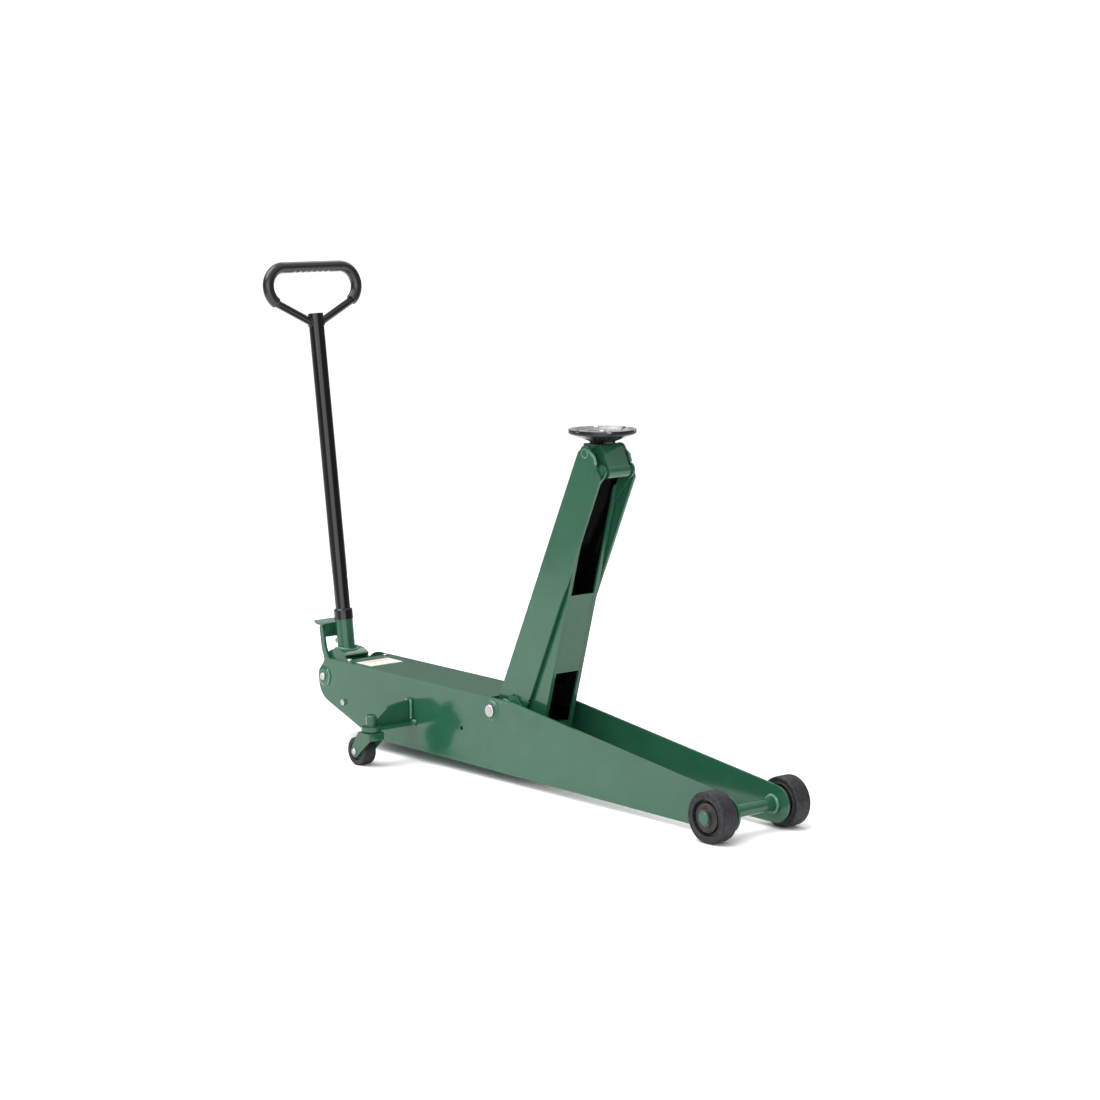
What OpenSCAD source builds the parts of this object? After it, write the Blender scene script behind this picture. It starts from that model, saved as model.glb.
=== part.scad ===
// Long-chassis hydraulic trolley jack, drawn with its lift arm raised.
// Frame: +X towards the front wheels, +Y to the jack's left, +Z up,
// origin on the ground under the middle of the whole jack.

/* [Chassis] */
// Width across the outer faces of the side plates
frame_w = 137; // [134:1:142]
// Thickness of each side plate
plate_t = 5; // [4:0.5:5]
// Distance from the origin forward to the front axle
axle_x = 680; // [670:1:690]
// Radius of the rounded nose of a side plate
nose_r = 37.4; // [34:0.2:40]
// Radius of the rounded rear end of a side plate
rear_r = 50; // [46:1:52]

/* [Wheels] */
// Diameter of a front wheel
wheel_d = 100; // [96:1:104]
// Width of a front wheel
wheel_w = 40; // [34:1:42]
// Diameter of a rear swivel wheel
caster_d = 61; // [58:1:62]
// Width of a rear swivel wheel
caster_w = 32; // [26:1:34]
// Distance of a swivel axis from the middle plane
caster_y = 174; // [165:0.5:190]
// How far the swivel wheel trails behind its axis
caster_trail = 35; // [28:1:38]

/* [Lift arm] */
// Distance between the two pivots of the lift arm
arm_len = 619.4; // [600:0.2:625]
// Angle of the raised arm above the horizontal
arm_angle = 63.85; // [62:0.05:65]
// Width across the outer faces of the arm plates
arm_w = 97; // [94:1:98]
// Thickness of an arm plate
arm_t = 6; // [4:0.5:6]

/* [Saddle] */
// Radius of the saddle rim
saddle_r = 68; // [60:1:70]
// Height of the saddle above its pivot face
saddle_h = 29; // [26:1:32]

/* [Handle] */
// Backward lean of the stored handle, in degrees
handle_lean = 7.42; // [4:0.02:9]
// Outer radius of the handle tube
tube_r = 17; // [15:0.5:17]
// Distance along the handle from its pivot to the middle of the grip bar
grip_s = 915.5; // [880:0.5:930]
// Bend radius of the two grip corners
grip_bend = 43; // [38:1:45]
// Radius of the plastic sleeve on the grip
sleeve_r = 12.5; // [11:0.5:14]

/* [Hidden] */
$fn = 72;

// colours
green = [0.16, 0.40, 0.28];
black = [0.06, 0.06, 0.07];
rubber = [0.13, 0.13, 0.14];
hub_brown = [0.16, 0.13, 0.12];
silver = [0.78, 0.79, 0.80];
dark_steel = [0.20, 0.20, 0.22];
bronze = [0.72, 0.55, 0.30];
white = [0.93, 0.93, 0.90];

run_gap = 0.05;                       // radial clearance of every running fit
side_gap = 0.3;                       // gap beside a moving piece
outer_y = frame_w / 2;                // outer face of a side plate
inner_y = outer_y - plate_t;
arm_y = arm_w / 2;                    // outer face of an arm plate
arm_in = arm_y - arm_t;
link_y = arm_in - 2.5;                // outer face of a link cheek
carrier_y = 28;                       // half width of the saddle carrier

function dir2(a) = [cos(a), sin(a)];

// pivots in the XZ plane
axle = [axle_x, wheel_d / 2];
nose = [axle_x + 3, wheel_d / 2];
rear = [-570, 133.5];
main_p = [-10, 149];
yoke_p = [-599, 141];
top_p = main_p + arm_len * dir2(arm_angle);
link_offset = [36, -35];              // from an arm pivot to the matching link pivot
link_p = main_p + link_offset;
level_p = top_p + link_offset;
crank_p = main_p + 85 * dir2(-54);

// point in the arm's own axes: u along the arm, n towards its front side
function arm_pt(u, n) = main_p + u * dir2(arm_angle) + n * dir2(arm_angle - 90);

// slopes of the side plate's edges
front_slope = 7.91;
cover_slope = 0.86;
heel_slope = 20;
bottom_slope = 0.745;
shoulder_x = 59;
heel_x = -423;

nose_top = nose + (nose_r - 0.03) * [sin(front_slope), cos(front_slope)];
nose_low = nose - (nose_r - 0.03) * [sin(bottom_slope), cos(bottom_slope)];
rear_top = rear + (rear_r - 0.03) * [sin(cover_slope), cos(cover_slope)];
rear_low = rear - (rear_r - 0.03) * [sin(heel_slope), cos(heel_slope)];
shoulder = [shoulder_x, nose_top[1] + (nose_top[0] - shoulder_x) * tan(front_slope)];
heel = [heel_x, rear_low[1] - (heel_x - rear_low[0]) * tan(heel_slope)];

function line_z(a, b, x) = a[1] + (b[1] - a[1]) * (x - a[0]) / (b[0] - a[0]);
function cover_z(x) = line_z(rear_top, shoulder, x);
function bottom_z(x) = line_z(heel, nose_low, x);

// pin sizes
main_r = 10;
hub_r = 14;
link_pin_r = 8;
level_r = 10.5;
saddle_pin_r = 8;
crank_r = 8;
axle_r = 13;
bolt_r = 7;

// hydraulic unit
ram_z = 72;
ram_r = 16;
block_x = [-540, -440];
plunger_at = [16, 112];               // Y and Z of the pump plunger
side_bolt = [-526, 92];

// caster
caster_x = -286.5;
caster_axle = [caster_x - caster_trail, caster_d / 2];

// ---- helpers ----
// slab between two Y values, from an outline in X and Z
module slab(y0, y1) {
    rotate([90, 0, 0]) translate([0, 0, -y1]) linear_extrude(y1 - y0) children();
}

// round bar along Y
module y_rod(p, r, y0, y1) {
    translate([p[0], y0, p[1]]) rotate([-90, 0, 0]) cylinder(r = r, h = y1 - y0);
}

// solid of revolution about a Y axis; the profile is [radius, y]
module y_turn(p) {
    translate([p[0], 0, p[1]]) rotate([-90, 0, 0]) rotate_extrude() children();
}

module x_rod(x0, x1, y, z, r) {
    translate([x0, y, z]) rotate([0, 90, 0]) cylinder(r = r, h = x1 - x0);
}

module both_sides() {
    children();
    mirror([0, 1, 0]) children();
}

// outline that wraps two circles, as exact arcs and tangents
module strap(a, ra, b, rb) {
    d = norm(b - a);
    base = atan2(b[1] - a[1], b[0] - a[0]);
    t = acos((ra - rb) / d);
    translate(a) circle(ra);
    translate(b) circle(rb);
    in = 0.03;
    polygon([a + (ra - in) * dir2(base + t), a + (ra - in) * dir2(base - t),
             b + (rb - in) * dir2(base - t), b + (rb - in) * dir2(base + t)]);
}

// hexagon head along Y
module hex_y(p, corner_r, y0, y1) {
    translate([p[0], y0, p[1]]) rotate([-90, 0, 0]) cylinder(r = corner_r, h = y1 - y0, $fn = 6);
}

// moves children to the handle's leaning axis: local Z runs up the handle
module on_handle() {
    translate([yoke_p[0], 0, yoke_p[1]]) rotate([0, -handle_lean, 0]) children();
}

// ---- chassis ----
module plate_outline() {
    difference() {
        union() {
            polygon([nose_top, shoulder, rear_top, rear_low, heel, nose_low]);
            translate(nose) circle(nose_r);
            translate(rear) circle(rear_r);
        }
        translate(main_p) circle(main_r + run_gap);
        translate(axle) circle(axle_r);
        translate(yoke_p) circle(bolt_r);
        translate(side_bolt) circle(4);
        translate([-111, 96]) circle(4.5);
    }
}

module side_plate() {
    color(green) slab(-outer_y, -inner_y) plate_outline();
}

module top_cover() {
    x0 = -535;
    x1 = -20;
    t = 4;
    color(green) slab(-inner_y, inner_y)
        polygon([[x0, cover_z(x0)], [x1, cover_z(x1)], [x1, cover_z(x1) - t], [x0, cover_z(x0) - t]]);
}

module rating_plate() {
    color(white) translate([-470, 0, cover_z(-470)]) rotate([0, cover_slope, 0])
        translate([-27, -54, 0.02]) cube([54, 88, 0.8]);
}

module floor_pan() {
    x0 = -420;
    x1 = 0;
    lift = 1;
    t = 3;
    color(green) slab(-inner_y, inner_y)
        polygon([[x0, bottom_z(x0) + lift], [x1, bottom_z(x1) + lift],
                 [x1, bottom_z(x1) + lift + t], [x0, bottom_z(x0) + lift + t]]);
}

wheel_y = [outer_y + 10.1, outer_y + 10.1 + wheel_w];

module front_axle() {
    neck_y = wheel_y[1] + side_gap;
    color(green) {
        y_rod(axle, axle_r, -neck_y, neck_y);
        both_sides() {
            y_turn(axle) polygon([[0, neck_y - 1], [11.5, neck_y - 1], [11.5, neck_y + 1.4],
                [axle_r, neck_y + 1.4], [axle_r, neck_y + 4], [axle_r - 1.5, neck_y + 5.5], [0, neck_y + 5.5]]);
            y_rod(axle, 19, outer_y, wheel_y[0] - side_gap);
        }
    }
}

module axle_rings() {
    neck_y = wheel_y[1] + side_gap;
    color(silver) both_sides() y_turn(axle) translate([11.5, neck_y]) square([5, 1.4]);
}

module main_pivot_pin() {
    head_y = outer_y + 4;
    color(silver) {
        y_rod(main_p, main_r, -head_y, head_y);
        both_sides() y_turn(main_p) polygon([[0, head_y], [13, head_y], [13, head_y + 3.5],
            [11.5, head_y + 5], [0, head_y + 5]]);
    }
}

// welded rings that carry the pivots, outside and inside the side plates
module pivot_bosses() {
    color(green) both_sides() {
        y_turn(main_p) polygon([[main_r + run_gap, outer_y], [20, outer_y], [20, outer_y + 2.5],
            [18.5, outer_y + 4], [main_r + run_gap, outer_y + 4]]);
        y_turn(yoke_p) polygon([[bolt_r, outer_y], [23, outer_y], [17, outer_y + 3], [bolt_r, outer_y + 3]]);
        y_turn(yoke_p) translate([bolt_r, 41.6]) square([7, inner_y - 41.6]);
    }
}

module link_pivot_pins() {
    color(dark_steel) both_sides() y_rod(link_p, link_pin_r, 27.5, inner_y);
}

module handle_pivot_bolts() {
    head_y = outer_y + 3;
    color(silver) both_sides() {
        y_rod(yoke_p, bolt_r, 20, head_y);
        y_turn(yoke_p) polygon([[0, head_y], [8.5, head_y], [8.5, head_y + 3], [6.5, head_y + 5], [0, head_y + 5]]);
    }
}

module side_bolts() {
    color(silver) both_sides() {
        y_rod(side_bolt, 4, 45, outer_y);
        hex_y(side_bolt, 7.5, outer_y, outer_y + 5.5);
    }
}

// the release spindle runs down and forward from the handle pivot
spindle_tilt = 128;
module on_spindle() {
    translate([yoke_p[0], 0, yoke_p[1]]) rotate([0, spindle_tilt, 0]) children();
}

module pump_block() {
    y = plunger_at[0];
    z = plunger_at[1];
    top = 130;
    lift = 6;
    color(dark_steel) difference() {
        slab(-inner_y, inner_y) polygon([[block_x[0], line_z(rear_low, heel, block_x[0]) + lift],
            [block_x[0], top], [block_x[1], top], [block_x[1], line_z(rear_low, heel, block_x[1]) + lift]]);
        x_rod(block_x[0] - 1, -450, y, z, 8 + run_gap);
        on_spindle() translate([0, 0, 65]) cylinder(r = 5 + run_gap, h = 36);
        both_sides() y_rod(side_bolt, 4, 45, inner_y + 1);
    }
}

module lift_cylinder() {
    color(dark_steel) difference() {
        x_rod(block_x[1], -150, 0, ram_z, 30);
        x_rod(block_x[1] + 5, -149, 0, ram_z, 24.05);
    }
}

module cylinder_gland() {
    color(dark_steel) difference() {
        union() {
            x_rod(-150, -146, 0, ram_z, 40);
            x_rod(-146, -132, 0, ram_z, 28);
        }
        x_rod(-151, -131, 0, ram_z, ram_r + run_gap);
    }
}

module oil_reservoir() {
    color(green) difference() {
        x_rod(block_x[1], -150, 0, ram_z, 40);
        x_rod(block_x[1] - 1, -149, 0, ram_z, 36);
        translate([-300, 0, 100]) cylinder(r = 6, h = 30);
    }
}

module filler_plug() {
    color(black) {
        translate([-300, 0, 106]) cylinder(r = 6, h = 9);
        translate([-300, 0, 115]) cylinder(r = 9, h = 6);
    }
}

module outrigger() {
    flange_z = [80, 86];
    hub_z = [79, 88];
    color(green) difference() {
        union() {
            // weld foot on the side plate
            translate([caster_x - 6, -outer_y - 3.5, 80]) cube([12, 3.5, 56]);
            // upright gusset
            translate([caster_x - 3, 0, 0]) rotate([90, 0, 90]) linear_extrude(6)
                polygon([[-outer_y, 86], [-outer_y, 133], [-125, 128], [-caster_y + 8, 98], [-caster_y + 8, 86]]);
            translate([caster_x - 19.5, -caster_y, flange_z[0]])
                cube([39, caster_y - outer_y, flange_z[1] - flange_z[0]]);
            translate([caster_x, -caster_y, hub_z[0]]) cylinder(r = 22, h = hub_z[1] - hub_z[0]);
            translate([caster_x, -caster_y, hub_z[1]]) cylinder(r = 11.5, h = 22);
            translate([caster_x, -caster_y, hub_z[1] + 22]) cylinder(r1 = 11.5, r2 = 9.5, h = 2);
        }
        translate([caster_x, -caster_y, hub_z[0] - 1]) cylinder(r = 8 + run_gap, h = 29);
    }
}

// ---- hydraulic ram ----
push_x = crank_p[0] - 14 - 1.5;       // face that pushes the crank roller

module ram_rod() {
    color(silver) {
        x_rod(-255, push_x - 30, 0, ram_z, ram_r);
        x_rod(-262, -236, 0, ram_z, 24);
    }
}

module ram_crosshead() {
    color(dark_steel) {
        translate([push_x - 30, -13, 50]) cube([30, 26, 45]);
        difference() {
            translate([push_x - 46, -28, 50]) cube([16, 56, 45]);
            x_rod(push_x - 47, push_x - 29, 0, ram_z, ram_r);
        }
    }
}

// ---- pump and release ----
module pump_plunger() {
    y = plunger_at[0];
    z = plunger_at[1];
    head_x = yoke_p[0] - 32 * sin(20) + 10 + 0.8;
    color(silver) {
        x_rod(head_x, head_x + 6, y, z, 10);
        x_rod(head_x + 6, -480, y, z, 8);
    }
}

module release_spindle() {
    color(dark_steel) on_spindle() {
        difference() {
            translate([0, 0, -2]) cylinder(r = 12, h = 16);
            translate([0, 0, -3]) cylinder(r = 9.5, h = 12);
        }
        translate([0, 0, 14]) cylinder(r = 5, h = 86);
    }
}

// ---- yoke and pedal ----
yoke_y = 32;
hood_r = 57;

// ring sector in the XZ plane
module sector(r0, r1, a0, a1) {
    steps = 24;
    intersection() {
        difference() {
            circle(r1);
            circle(r0);
        }
        polygon(concat([[0, 0]], [for (i = [0:steps]) 2 * r1 * dir2(a0 + (a1 - a0) * i / steps)]));
    }
}

module handle_yoke() {
    roller_at = yoke_p - 32 * dir2(70);
    color(green) difference() {
        union() {
            // curved hood
            slab(-yoke_y, yoke_y) translate(yoke_p) sector(51, hood_r, 54, 215);
            // cheeks and their hubs
            both_sides() {
                slab(27, yoke_y) translate(yoke_p) circle(51.5);
                y_rod(yoke_p, 18, 20.5, yoke_y);
            }
            on_handle() {
                translate([-26, -27.5, 28.5]) cube([52, 55, 6.5]);
                translate([0, 0, 46.5]) cylinder(r = 25.5, h = 12.5);
            }
        }
        both_sides() y_rod(yoke_p, 10, 19, yoke_y + 1);
        y_rod(roller_at, 4, 26, yoke_y + 1);
        on_handle() {
            translate([0, 0, 46]) cylinder(r = 20 + run_gap, h = 16);
            translate([0, 0, 35.3]) cylinder(r = 24.3, h = 11.2);
            translate([0, 0, 27]) cylinder(r = 6, h = 9);
        }
    }
}

module yoke_bushings() {
    color(bronze) both_sides() difference() {
        y_rod(yoke_p, 10, 20.5, 41.3);
        y_rod(yoke_p, bolt_r + run_gap, 20, 42);
    }
}

module pump_roller() {
    roller_at = yoke_p - 32 * dir2(70);
    color(silver) {
        y_rod(roller_at, 4, 7, yoke_y);
        difference() {
            y_rod(roller_at, 10, 8, 26);
            y_rod(roller_at, 4, 7, 27);
        }
    }
}

module lever_outline() {
    elbow = yoke_p + [-30, 32];
    knee = yoke_p + [-41, 56];
    tip = yoke_p + [-48.5, 99.5];
    difference() {
        union() {
            strap(yoke_p, 15, elbow, 8);
            strap(elbow, 8, knee, 7);
            strap(knee, 7, tip, 6.5);
        }
        translate(yoke_p) circle(10);
    }
}

module pedal_fork() {
    color(green) both_sides() slab(34, 40.5) lever_outline();
}

module pedal_tread() {
    back = yoke_p[0] - 73;
    color(green) {
        slab(-41, 41) polygon([[back, 251], [back + 10, 247], [back + 35, 247], [back + 35, 251],
            [back + 11, 251], [back + 2, 256], [back, 256]]);
        // box under the tread, with upright ribs front and back
        translate([back + 20, -34, 221]) cube([16, 68, 26]);
        for (i = [-3:3])
            translate([back + 18, i * 9 - 2, 221]) cube([20, 4, 26]);
    }
}

// ---- handle ----
socket_s = [36, 121];

module handle_socket() {
    color(green) on_handle() difference() {
        union() {
            translate([0, 0, socket_s[0]]) cylinder(r = 24, h = 10);
            translate([0, 0, socket_s[0]]) cylinder(r = 20, h = socket_s[1] - socket_s[0]);
            translate([0, 0, 3]) cylinder(r = 3.5, h = 34);
            rotate_extrude() intersection() {
                circle(7.5);
                translate([0, -8]) square([8, 16]);
            }
        }
        translate([0, 0, socket_s[0] + 6]) cylinder(r = tube_r, h = 100);
        translate([0, 0, 72]) rotate([0, -90, 0]) cylinder(r = 4, h = 30);
    }
}

module clamp_screw() {
    color(silver) on_handle() translate([0, 0, 72]) rotate([0, -90, 0]) {
        translate([0, 0, tube_r]) cylinder(r = 4, h = 12);
        translate([0, 0, 20.1]) cylinder(r = 7, h = 5, $fn = 6);
        translate([0, 0, 29]) cylinder(r = 6.6, h = 6, $fn = 6);
    }
}

module handle_tube() {
    wall = 2.5;
    color(black) on_handle() difference() {
        translate([0, 0, socket_s[0] + 6]) cylinder(r = tube_r, h = 769);
        translate([0, 0, socket_s[0] + 5]) cylinder(r = tube_r - wall, h = 766);
    }
}

module handle_collar() {
    color(black) on_handle() difference() {
        union() {
            translate([0, 0, socket_s[1]]) cylinder(r = 21.5, h = 20);
            translate([0, 0, socket_s[1] + 20]) cylinder(r1 = 21.5, r2 = 19.5, h = 4);
        }
        translate([0, 0, socket_s[1] - 1]) cylinder(r = tube_r, h = 40);
    }
}

grip_y = 78;                          // bend centres of the grip, either side
grip_arc = 153;                       // angle that each bend turns through

// round bar of the grip loop, radius r, with bends through the given angle
module grip_bar(r, arc) {
    translate([0, -grip_y - 0.5, grip_s]) rotate([-90, 0, 0]) cylinder(r = r, h = 2 * grip_y + 1);
    both_sides() translate([0, grip_y, grip_s - grip_bend]) rotate([90, 0, 90])
        rotate([0, 0, 90 - arc]) rotate_extrude(angle = arc) translate([grip_bend, 0]) circle(r - 0.1);
}

module grip_frame() {
    end_angle = 90 - grip_arc;
    leg = grip_bend * dir2(end_angle) + [grip_y, grip_s - grip_bend];
    lap = 0.5;
    color(black) on_handle() difference() {
        union() {
            grip_bar(8.5, grip_arc);
            both_sides() translate([0, leg[0], leg[1]]) rotate([180 + end_angle, 0, 0])
                translate([0, 0, -lap]) cylinder(r = 8.5, h = lap + (leg[0] - 4) / cos(end_angle + 90));
        }
        translate([0, 0, 700]) cylinder(r = tube_r, h = 111);
    }
}

module grip_sleeve() {
    color(black) on_handle() difference() {
        grip_bar(sleeve_r, 145);
        grip_bar(8.5, 150);
    }
}

// ---- lift arm ----
module arm_outline() {
    polygon([arm_pt(0, -13), arm_pt(577, -19.9), arm_pt(arm_len - 8, -19.9), arm_pt(arm_len + 9, -11), arm_pt(arm_len + 10, 4),
        arm_pt(arm_len + 5.6, 26), arm_pt(604, 46), arm_pt(600, 56), arm_pt(593, 62),
        arm_pt(72, 73), arm_pt(56.2, 26.2), arm_pt(10, 5)]);
}

module arm_side() {
    color(green) difference() {
        union() {
            slab(-arm_y, -arm_in) arm_outline();
            y_rod(top_p, 16, -arm_y, -arm_in);
            y_rod(main_p, 22, -arm_y, -arm_in);
        }
        y_rod(main_p, hub_r, -arm_y - 1, -arm_in + 1);
        y_rod(top_p, saddle_pin_r, -arm_y - 1, -arm_in + 1);
    }
}

module arm_web() {
    t = 6;
    color(green) slab(-arm_in, arm_in)
        polygon([arm_pt(22, -13.3), arm_pt(566, -19.7), arm_pt(566, -19.7 + t), arm_pt(22, -13.3 + t)]);
}

module arm_hub() {
    half = inner_y - side_gap;
    color(green) difference() {
        y_rod(main_p, hub_r, -half, half);
        y_rod(main_p, main_r + run_gap, -half - 1, half + 1);
    }
}

module lift_crank() {
    color(dark_steel) both_sides() slab(14, 22) difference() {
        strap(main_p, 22, crank_p, 17);
        translate(main_p) circle(hub_r);
        translate(crank_p) circle(crank_r);
    }
}

module crank_pin() {
    color(silver) y_rod(crank_p, crank_r, -24, 24);
}

module crank_roller() {
    color(silver) difference() {
        y_rod(crank_p, 14, -13.7, 13.7);
        y_rod(crank_p, crank_r + run_gap, -14, 14);
    }
}

module saddle_pivot_pin() {
    color(green) y_rod(top_p, saddle_pin_r, -arm_y - 1.5, arm_y + 1.5);
}

// ---- levelling link ----
link_low_z = 100;
function link_front_x(z) = 137.1 + (z - 190.7) * 0.285;

module link_outline() {
    eye = 14.5;
    difference() {
        union() {
            polygon([[link_front_x(link_low_z), link_low_z], [link_front_x(600), 600], level_p + eye * dir2(-48),
                level_p + eye * dir2(132), arm_pt(575, 28), arm_pt(556, 28), arm_pt(545, 22),
                arm_pt(455, 33.8), link_p + 14 * dir2(arm_angle + 90), link_p + [0, -14]]);
            translate(link_p) circle(14);
            translate(level_p) circle(eye);
        }
        translate(link_p) circle(link_pin_r + run_gap);
        translate(level_p) circle(level_r + run_gap);
    }
}

// front strip that stiffens a cheek beside the windows
module link_strip(z0, z1, t) {
    polygon([[link_front_x(z0), z0], [link_front_x(z1), z1], [link_front_x(z1) - t, z1], [link_front_x(z0) - t, z0]]);
}

module link_cheek() {
    color(green) {
        slab(-link_y, -link_y + 4) link_outline();
        slab(-link_y + 4, -link_y + 9) link_strip(135, 600, 5);
        slab(-link_y + 4, -28) difference() {
            translate(link_p) circle(14);
            translate(link_p) circle(link_pin_r + run_gap);
        }
    }
}

module link_web() {
    half = link_y - 9;
    color(green) {
        slab(-half, half) link_strip(243, 410, 5);
        slab(-link_y + 4, link_y - 4) link_strip(link_low_z, 135, 5);
    }
}

// ---- saddle ----
pad_z = top_p[1] + 17;
saddle_x = top_p[0] - 2;

module saddle_carrier() {
    color(green) difference() {
        union() {
            slab(-carrier_y, carrier_y) strap(top_p, 16, level_p, 15);
            slab(-carrier_y, carrier_y) polygon([[saddle_x - 26, pad_z - 9], [saddle_x - 26, pad_z],
                [saddle_x + 24, pad_z], [saddle_x + 31, pad_z - 7], level_p + 14 * dir2(20),
                level_p + [-4, 3], top_p + 12 * dir2(200)]);
        }
        y_rod(top_p, saddle_pin_r + run_gap, -30, 30);
        y_rod(level_p, level_r, -30, 30);
        translate([saddle_x, 0, pad_z - 7.6]) cylinder(r = 12 + run_gap, h = 10);
        // shallow pocket in each side
        both_sides() slab(20, 27) polygon([[saddle_x + 15, pad_z - 8], [saddle_x + 23, pad_z - 11],
            [saddle_x + 31, level_p[1] + 18], [saddle_x + 21, level_p[1] + 14]]);
    }
}

module level_pin() {
    half = arm_in - side_gap;
    color(green) y_rod(level_p, level_r, -half, half);
}

module saddle() {
    rim_z = saddle_h - 9;
    lugs = 6;
    color(dark_steel) translate([saddle_x, 0, pad_z]) {
        translate([0, 0, -7]) cylinder(r = 12, h = 10);
        difference() {
            rotate_extrude() polygon([[0, 0.3], [25, 0.3], [25, 3.3], [saddle_r - 1, rim_z], [saddle_r, rim_z + 1],
                [saddle_r, saddle_h], [saddle_r - 8, saddle_h], [saddle_r - 16, rim_z + 2.5], [0, rim_z + 2.5]]);
            for (i = [0:lugs - 1])
                rotate([0, 0, 30 + i * 360 / lugs]) translate([saddle_r - 12, -4.5, saddle_h - 3.5]) cube([20, 9, 10]);
        }
    }
}

// ---- wheels ----
module front_tyre() {
    y = -(wheel_y[0] + wheel_y[1]) / 2;
    r = wheel_d / 2;
    e = 4;
    color(rubber) y_turn(axle) translate([0, y]) {
        translate([36, -wheel_w / 2 + e]) square([r - 36, wheel_w - 2 * e]);
        translate([36, -wheel_w / 2]) square([r - e - 36, wheel_w]);
        for (s = [-1, 1])
            translate([r - e, s * (wheel_w / 2 - e)]) circle(e);
    }
}

module front_hub() {
    y = -(wheel_y[0] + wheel_y[1]) / 2;
    bore = axle_r + run_gap;
    color(hub_brown) y_turn(axle) translate([0, y]) {
        translate([31, -wheel_w / 2 + 1]) square([5, wheel_w - 2]);
        translate([bore, -wheel_w / 2 + 6]) square([20, wheel_w - 12]);
        translate([bore, -wheel_w / 2]) square([6, wheel_w]);
    }
}

module caster_fork() {
    fork_z = [71, 75.5];
    in_y = caster_w / 2 + 0.7;
    color(green) translate([0, -caster_y, 0]) {
        translate([caster_x - 21, -in_y - 3.5, fork_z[0]]) cube([39, 2 * in_y + 7, fork_z[1] - fork_z[0]]);
        translate([caster_x, 0, fork_z[1] - 1]) cylinder(r = 15, h = 4.2);
        translate([caster_x, 0, fork_z[0]]) cylinder(r = 8, h = 35);
        both_sides() slab(in_y, in_y + 3.5) difference() {
            union() {
                polygon([[caster_x - 21, fork_z[1]], [caster_x + 18, fork_z[1]], [caster_x + 18, fork_z[0] - 12],
                    caster_axle + 13 * dir2(-44), caster_axle + 13 * dir2(147)]);
                translate(caster_axle) circle(13);
            }
            translate(caster_axle) circle(5);
        }
    }
}

module caster_axle_bolt() {
    end_y = caster_w / 2 + 4.2;
    color(silver) translate([0, -caster_y, 0]) {
        y_rod(caster_axle, 5, -end_y, end_y);
        both_sides() y_turn(caster_axle) polygon([[0, end_y], [7, end_y], [7, end_y + 2], [4.5, end_y + 4], [0, end_y + 4]]);
    }
}

module caster_wheel() {
    r = caster_d / 2;
    e = 3;
    color(rubber) translate([0, -caster_y, 0]) y_turn(caster_axle) {
        translate([5 + run_gap, -caster_w / 2]) square([5, caster_w]);
        translate([9, -caster_w / 2 + 4]) square([12, caster_w - 8]);
        translate([20, -caster_w / 2]) square([r - e - 20, caster_w]);
        translate([20, -caster_w / 2 + e]) square([r - 20, caster_w - 2 * e]);
        for (s = [-1, 1])
            translate([r - e, s * (caster_w / 2 - e)]) circle(e);
    }
}

module left() {
    mirror([0, 1, 0]) children();
}

side_plate();  // side_plate_right
left() side_plate();  // side_plate_left
top_cover();
rating_plate();
floor_pan();
front_axle();
axle_rings();
main_pivot_pin();
pivot_bosses();
link_pivot_pins();
handle_pivot_bolts();
side_bolts();
pump_block();
lift_cylinder();
cylinder_gland();
oil_reservoir();
filler_plug();
outrigger();  // outrigger_right
left() outrigger();  // outrigger_left
ram_rod();
ram_crosshead();
pump_plunger();
release_spindle();
handle_yoke();
yoke_bushings();
pump_roller();
pedal_fork();
pedal_tread();
handle_socket();
clamp_screw();
handle_tube();
handle_collar();
grip_frame();
grip_sleeve();
arm_side();  // arm_side_right
left() arm_side();  // arm_side_left
arm_web();
arm_hub();
lift_crank();
crank_pin();
crank_roller();
saddle_pivot_pin();
link_cheek();  // link_cheek_right
left() link_cheek();  // link_cheek_left
link_web();
saddle_carrier();
level_pin();
saddle();
front_tyre();  // front_tyre_right
front_hub();  // front_hub_right
left() front_tyre();  // front_tyre_left
left() front_hub();  // front_hub_left
caster_fork();  // caster_fork_right
caster_axle_bolt();  // caster_axle_right
caster_wheel();  // caster_wheel_right
left() caster_fork();  // caster_fork_left
left() caster_axle_bolt();  // caster_axle_left
left() caster_wheel();  // caster_wheel_left
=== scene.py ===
import math
import random

import bpy
import bmesh
from mathutils import Matrix, Vector


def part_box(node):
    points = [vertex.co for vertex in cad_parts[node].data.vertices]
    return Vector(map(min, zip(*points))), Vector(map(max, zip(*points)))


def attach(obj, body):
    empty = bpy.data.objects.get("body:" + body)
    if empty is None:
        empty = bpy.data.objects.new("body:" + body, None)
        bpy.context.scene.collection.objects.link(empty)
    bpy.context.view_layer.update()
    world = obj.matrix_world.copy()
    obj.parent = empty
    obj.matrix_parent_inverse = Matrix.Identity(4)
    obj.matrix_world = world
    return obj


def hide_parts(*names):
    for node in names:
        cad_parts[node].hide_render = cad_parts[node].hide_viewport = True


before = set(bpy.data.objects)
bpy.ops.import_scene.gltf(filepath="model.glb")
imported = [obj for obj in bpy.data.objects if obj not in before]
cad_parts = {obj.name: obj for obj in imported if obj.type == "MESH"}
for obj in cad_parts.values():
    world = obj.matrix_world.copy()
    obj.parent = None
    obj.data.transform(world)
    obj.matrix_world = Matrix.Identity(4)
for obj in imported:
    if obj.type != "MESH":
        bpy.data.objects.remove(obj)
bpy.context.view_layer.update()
random.seed(7)
MM = 0.001


# ---- places, read from the frame ----
def centre(node):
    """The middle of a node's box."""
    lo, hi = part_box(node)
    return (lo + hi) / 2


AXLE_AT = (0.680, 0, 0.050)            # the front axle on the jack's own axes, in metres
ORIGIN = centre("front_axle") - Vector(AXLE_AT)


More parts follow.
